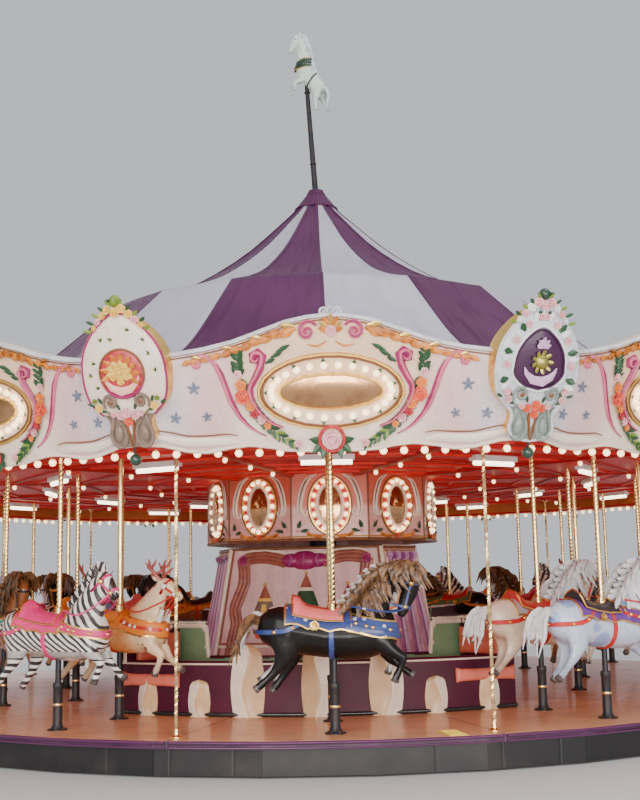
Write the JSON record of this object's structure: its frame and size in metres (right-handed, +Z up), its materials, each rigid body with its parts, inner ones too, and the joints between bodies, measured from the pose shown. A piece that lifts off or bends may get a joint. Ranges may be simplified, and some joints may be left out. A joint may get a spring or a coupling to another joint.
{
  "type": "fairground carousel",
  "caption": "Round fairground carousel: animals on brass poles jump on a turning deck under a purple and white canopy with leaning rounding boards.",
  "frame": {"origin": "on the ground under the mast, at the middle of the turning frame", "axes": "+Z up along the mast, -Y towards the viewer, the animals face +X at the front and travel counter-clockwise seen from above"},
  "size_m": [10.7166, 10.7166, 7.7275],
  "materials": {
    "board_paint": "cream gloss paint on carved boards",
    "deck_wood": "worn orange-tan deck boards",
    "red_paint": "bright red gloss",
    "dark_steel": "black satin paint",
    "canopy_cloth": "coated canopy cloth, purple and white gores",
    "housing_paint": "coral red gloss fading to pink",
    "scenery_paint": "pale pink gloss",
    "chariot_paint": "purple and cream stripes",
    "coat_black": "black gloss",
    "coat_white": "white gloss",
    "coat_cream": "cream gloss",
    "coat_brown": "brown gloss",
    "finial_paint": "weathered pale green-white",
    "gold_trim": "gold leaf paint",
    "brass": "polished twisted brass",
    "mirror_glass": "silvered mirror",
    "bulb_glass": "lit warm bulb",
    "leaf_green": "painted green leaves",
    "rose_pink": "painted pink and red flowers",
    "purple_trim": "purple edge paint",
    "saddle_paint": "painted saddle",
    "mane_paint": "painted mane and tail",
    "cushion": "coral vinyl cushion"
  },
  "bodies": {
    "base": {"base_frame": "dark_steel", "centre_mast": "dark_steel", "scenery_front": "scenery_paint", "scenery_right": "scenery_paint", "scenery_left": "scenery_paint"},
    "turntable": {"deck_1": "deck_wood", "deck_2": "deck_wood", "deck_3": "deck_wood", "deck_4": "deck_wood", "deck_5": "deck_wood", "deck_6": "deck_wood", "sweep_frame": "dark_steel", "rim_frame": "dark_steel", "ceiling": "red_paint", "rounding_boards_1": "board_paint", "rounding_boards_2": "board_paint", "rounding_boards_3": "board_paint", "rounding_boards_4": "board_paint", "rounding_boards_5": "board_paint", "rounding_boards_6": "board_paint", "canopy": "canopy_cloth", "canopy_hoop": "dark_steel", "upper_housing": "housing_paint", "finial": "finial_paint", "chariot_1": "chariot_paint", "chariot_2": "chariot_paint", "chariot_3": "chariot_paint", "chariot_4": "chariot_paint"},
    "ride_outer_1": {"outer_horse_1": "coat_black"},
    "ride_outer_2": {"outer_horse_2": "coat_white"},
    "ride_outer_3": {"outer_horse_3": "coat_cream"},
    "ride_outer_4": {"outer_rabbit_4": "coat_brown"},
    "ride_outer_5": {"outer_horse_5": "coat_black"},
    "ride_outer_6": {"outer_zebra_6": "coat_white"},
    "ride_outer_7": {"outer_horse_7": "coat_cream"},
    "ride_outer_8": {"outer_horse_8": "coat_brown"},
    "ride_outer_9": {"outer_reindeer_9": "coat_black"},
    "ride_outer_10": {"outer_horse_10": "coat_white"},
    "ride_outer_11": {"outer_horse_11": "coat_cream"},
    "ride_outer_12": {"outer_zebra_12": "coat_white"},
    "ride_middle_1": {"middle_horse_1": "coat_black"},
    "ride_middle_2": {"middle_horse_2": "coat_white"},
    "ride_middle_3": {"middle_rabbit_3": "coat_cream"},
    "ride_middle_4": {"middle_horse_4": "coat_brown"},
    "ride_middle_5": {"middle_zebra_5": "coat_white"},
    "ride_middle_6": {"middle_horse_6": "coat_white"},
    "ride_middle_7": {"middle_reindeer_7": "coat_cream"},
    "ride_middle_8": {"middle_horse_8": "coat_brown"},
    "ride_middle_9": {"middle_horse_9": "coat_black"},
    "ride_middle_10": {"middle_rabbit_10": "coat_white"},
    "ride_middle_11": {"middle_horse_11": "coat_cream"},
    "ride_middle_12": {"middle_reindeer_12": "coat_brown"},
    "ride_inner_3": {"inner_horse_3": "coat_black"},
    "ride_inner_4": {"inner_reindeer_4": "coat_white"},
    "ride_inner_5": {"inner_horse_5": "coat_cream"},
    "ride_inner_9": {"inner_rabbit_9": "coat_brown"},
    "ride_inner_10": {"inner_horse_10": "coat_black"},
    "ride_inner_11": {"inner_reindeer_11": "coat_white"}
  },
  "joints": [
    {"name": "turn", "type": "hinge", "parent": "base", "child": "turntable", "pos_m": [0, 0, 0], "axis": [0, 0, 1], "continuous": true},
    {"name": "lift_outer_1", "type": "slide", "parent": "turntable", "child": "ride_outer_1", "axis": [0, 0, 1], "range_m": [-0.11, 0.11]},
    {"name": "lift_outer_2", "type": "slide", "parent": "turntable", "child": "ride_outer_2", "axis": [0, 0, 1], "range_m": [-0.11, 0.11]},
    {"name": "lift_outer_3", "type": "slide", "parent": "turntable", "child": "ride_outer_3", "axis": [0, 0, 1], "range_m": [-0.11, 0.11]},
    {"name": "lift_outer_4", "type": "slide", "parent": "turntable", "child": "ride_outer_4", "axis": [0, 0, 1], "range_m": [-0.11, 0.11]},
    {"name": "lift_outer_5", "type": "slide", "parent": "turntable", "child": "ride_outer_5", "axis": [0, 0, 1], "range_m": [-0.11, 0.11]},
    {"name": "lift_outer_6", "type": "slide", "parent": "turntable", "child": "ride_outer_6", "axis": [0, 0, 1], "range_m": [-0.11, 0.11]},
    {"name": "lift_outer_7", "type": "slide", "parent": "turntable", "child": "ride_outer_7", "axis": [0, 0, 1], "range_m": [-0.11, 0.11]},
    {"name": "lift_outer_8", "type": "slide", "parent": "turntable", "child": "ride_outer_8", "axis": [0, 0, 1], "range_m": [-0.11, 0.11]},
    {"name": "lift_outer_9", "type": "slide", "parent": "turntable", "child": "ride_outer_9", "axis": [0, 0, 1], "range_m": [-0.11, 0.11]},
    {"name": "lift_outer_10", "type": "slide", "parent": "turntable", "child": "ride_outer_10", "axis": [0, 0, 1], "range_m": [-0.11, 0.11]},
    {"name": "lift_outer_11", "type": "slide", "parent": "turntable", "child": "ride_outer_11", "axis": [0, 0, 1], "range_m": [-0.11, 0.11]},
    {"name": "lift_outer_12", "type": "slide", "parent": "turntable", "child": "ride_outer_12", "axis": [0, 0, 1], "range_m": [-0.11, 0.11]},
    {"name": "lift_middle_1", "type": "slide", "parent": "turntable", "child": "ride_middle_1", "axis": [0, 0, 1], "range_m": [-0.11, 0.11]},
    {"name": "lift_middle_2", "type": "slide", "parent": "turntable", "child": "ride_middle_2", "axis": [0, 0, 1], "range_m": [-0.11, 0.11]},
    {"name": "lift_middle_3", "type": "slide", "parent": "turntable", "child": "ride_middle_3", "axis": [0, 0, 1], "range_m": [-0.11, 0.11]},
    {"name": "lift_middle_4", "type": "slide", "parent": "turntable", "child": "ride_middle_4", "axis": [0, 0, 1], "range_m": [-0.11, 0.11]},
    {"name": "lift_middle_5", "type": "slide", "parent": "turntable", "child": "ride_middle_5", "axis": [0, 0, 1], "range_m": [-0.11, 0.11]},
    {"name": "lift_middle_6", "type": "slide", "parent": "turntable", "child": "ride_middle_6", "axis": [0, 0, 1], "range_m": [-0.11, 0.11]},
    {"name": "lift_middle_7", "type": "slide", "parent": "turntable", "child": "ride_middle_7", "axis": [0, 0, 1], "range_m": [-0.11, 0.11]},
    {"name": "lift_middle_8", "type": "slide", "parent": "turntable", "child": "ride_middle_8", "axis": [0, 0, 1], "range_m": [-0.11, 0.11]},
    {"name": "lift_middle_9", "type": "slide", "parent": "turntable", "child": "ride_middle_9", "axis": [0, 0, 1], "range_m": [-0.11, 0.11]},
    {"name": "lift_middle_10", "type": "slide", "parent": "turntable", "child": "ride_middle_10", "axis": [0, 0, 1], "range_m": [-0.11, 0.11]},
    {"name": "lift_middle_11", "type": "slide", "parent": "turntable", "child": "ride_middle_11", "axis": [0, 0, 1], "range_m": [-0.11, 0.11]},
    {"name": "lift_middle_12", "type": "slide", "parent": "turntable", "child": "ride_middle_12", "axis": [0, 0, 1], "range_m": [-0.11, 0.11]},
    {"name": "lift_inner_3", "type": "slide", "parent": "turntable", "child": "ride_inner_3", "axis": [0, 0, 1], "range_m": [-0.11, 0.11]},
    {"name": "lift_inner_4", "type": "slide", "parent": "turntable", "child": "ride_inner_4", "axis": [0, 0, 1], "range_m": [-0.11, 0.11]},
    {"name": "lift_inner_5", "type": "slide", "parent": "turntable", "child": "ride_inner_5", "axis": [0, 0, 1], "range_m": [-0.11, 0.11]},
    {"name": "lift_inner_9", "type": "slide", "parent": "turntable", "child": "ride_inner_9", "axis": [0, 0, 1], "range_m": [-0.11, 0.11]},
    {"name": "lift_inner_10", "type": "slide", "parent": "turntable", "child": "ride_inner_10", "axis": [0, 0, 1], "range_m": [-0.11, 0.11]},
    {"name": "lift_inner_11", "type": "slide", "parent": "turntable", "child": "ride_inner_11", "axis": [0, 0, 1], "range_m": [-0.11, 0.11]}
  ],
  "couplings": [
    {"joint": "lift_outer_2", "follows": "lift_outer_1", "ratio": -1},
    {"joint": "lift_outer_3", "follows": "lift_outer_1", "ratio": 1},
    {"joint": "lift_outer_4", "follows": "lift_outer_1", "ratio": -1},
    {"joint": "lift_outer_5", "follows": "lift_outer_1", "ratio": 1},
    {"joint": "lift_outer_6", "follows": "lift_outer_1", "ratio": -1},
    {"joint": "lift_outer_7", "follows": "lift_outer_1", "ratio": 1},
    {"joint": "lift_outer_8", "follows": "lift_outer_1", "ratio": -1},
    {"joint": "lift_outer_9", "follows": "lift_outer_1", "ratio": 1},
    {"joint": "lift_outer_10", "follows": "lift_outer_1", "ratio": -1},
    {"joint": "lift_outer_11", "follows": "lift_outer_1", "ratio": 1},
    {"joint": "lift_outer_12", "follows": "lift_outer_1", "ratio": -1},
    {"joint": "lift_middle_1", "follows": "lift_outer_1", "ratio": -1},
    {"joint": "lift_middle_2", "follows": "lift_outer_1", "ratio": 1},
    {"joint": "lift_middle_3", "follows": "lift_outer_1", "ratio": -1},
    {"joint": "lift_middle_4", "follows": "lift_outer_1", "ratio": 1},
    {"joint": "lift_middle_5", "follows": "lift_outer_1", "ratio": -1},
    {"joint": "lift_middle_6", "follows": "lift_outer_1", "ratio": 1},
    {"joint": "lift_middle_7", "follows": "lift_outer_1", "ratio": -1},
    {"joint": "lift_middle_8", "follows": "lift_outer_1", "ratio": 1},
    {"joint": "lift_middle_9", "follows": "lift_outer_1", "ratio": -1},
    {"joint": "lift_middle_10", "follows": "lift_outer_1", "ratio": 1},
    {"joint": "lift_middle_11", "follows": "lift_outer_1", "ratio": -1},
    {"joint": "lift_middle_12", "follows": "lift_outer_1", "ratio": 1},
    {"joint": "lift_inner_3", "follows": "lift_outer_1", "ratio": 1},
    {"joint": "lift_inner_4", "follows": "lift_outer_1", "ratio": -1},
    {"joint": "lift_inner_5", "follows": "lift_outer_1", "ratio": 1},
    {"joint": "lift_inner_9", "follows": "lift_outer_1", "ratio": 1},
    {"joint": "lift_inner_10", "follows": "lift_outer_1", "ratio": -1},
    {"joint": "lift_inner_11", "follows": "lift_outer_1", "ratio": 1}
  ]
}
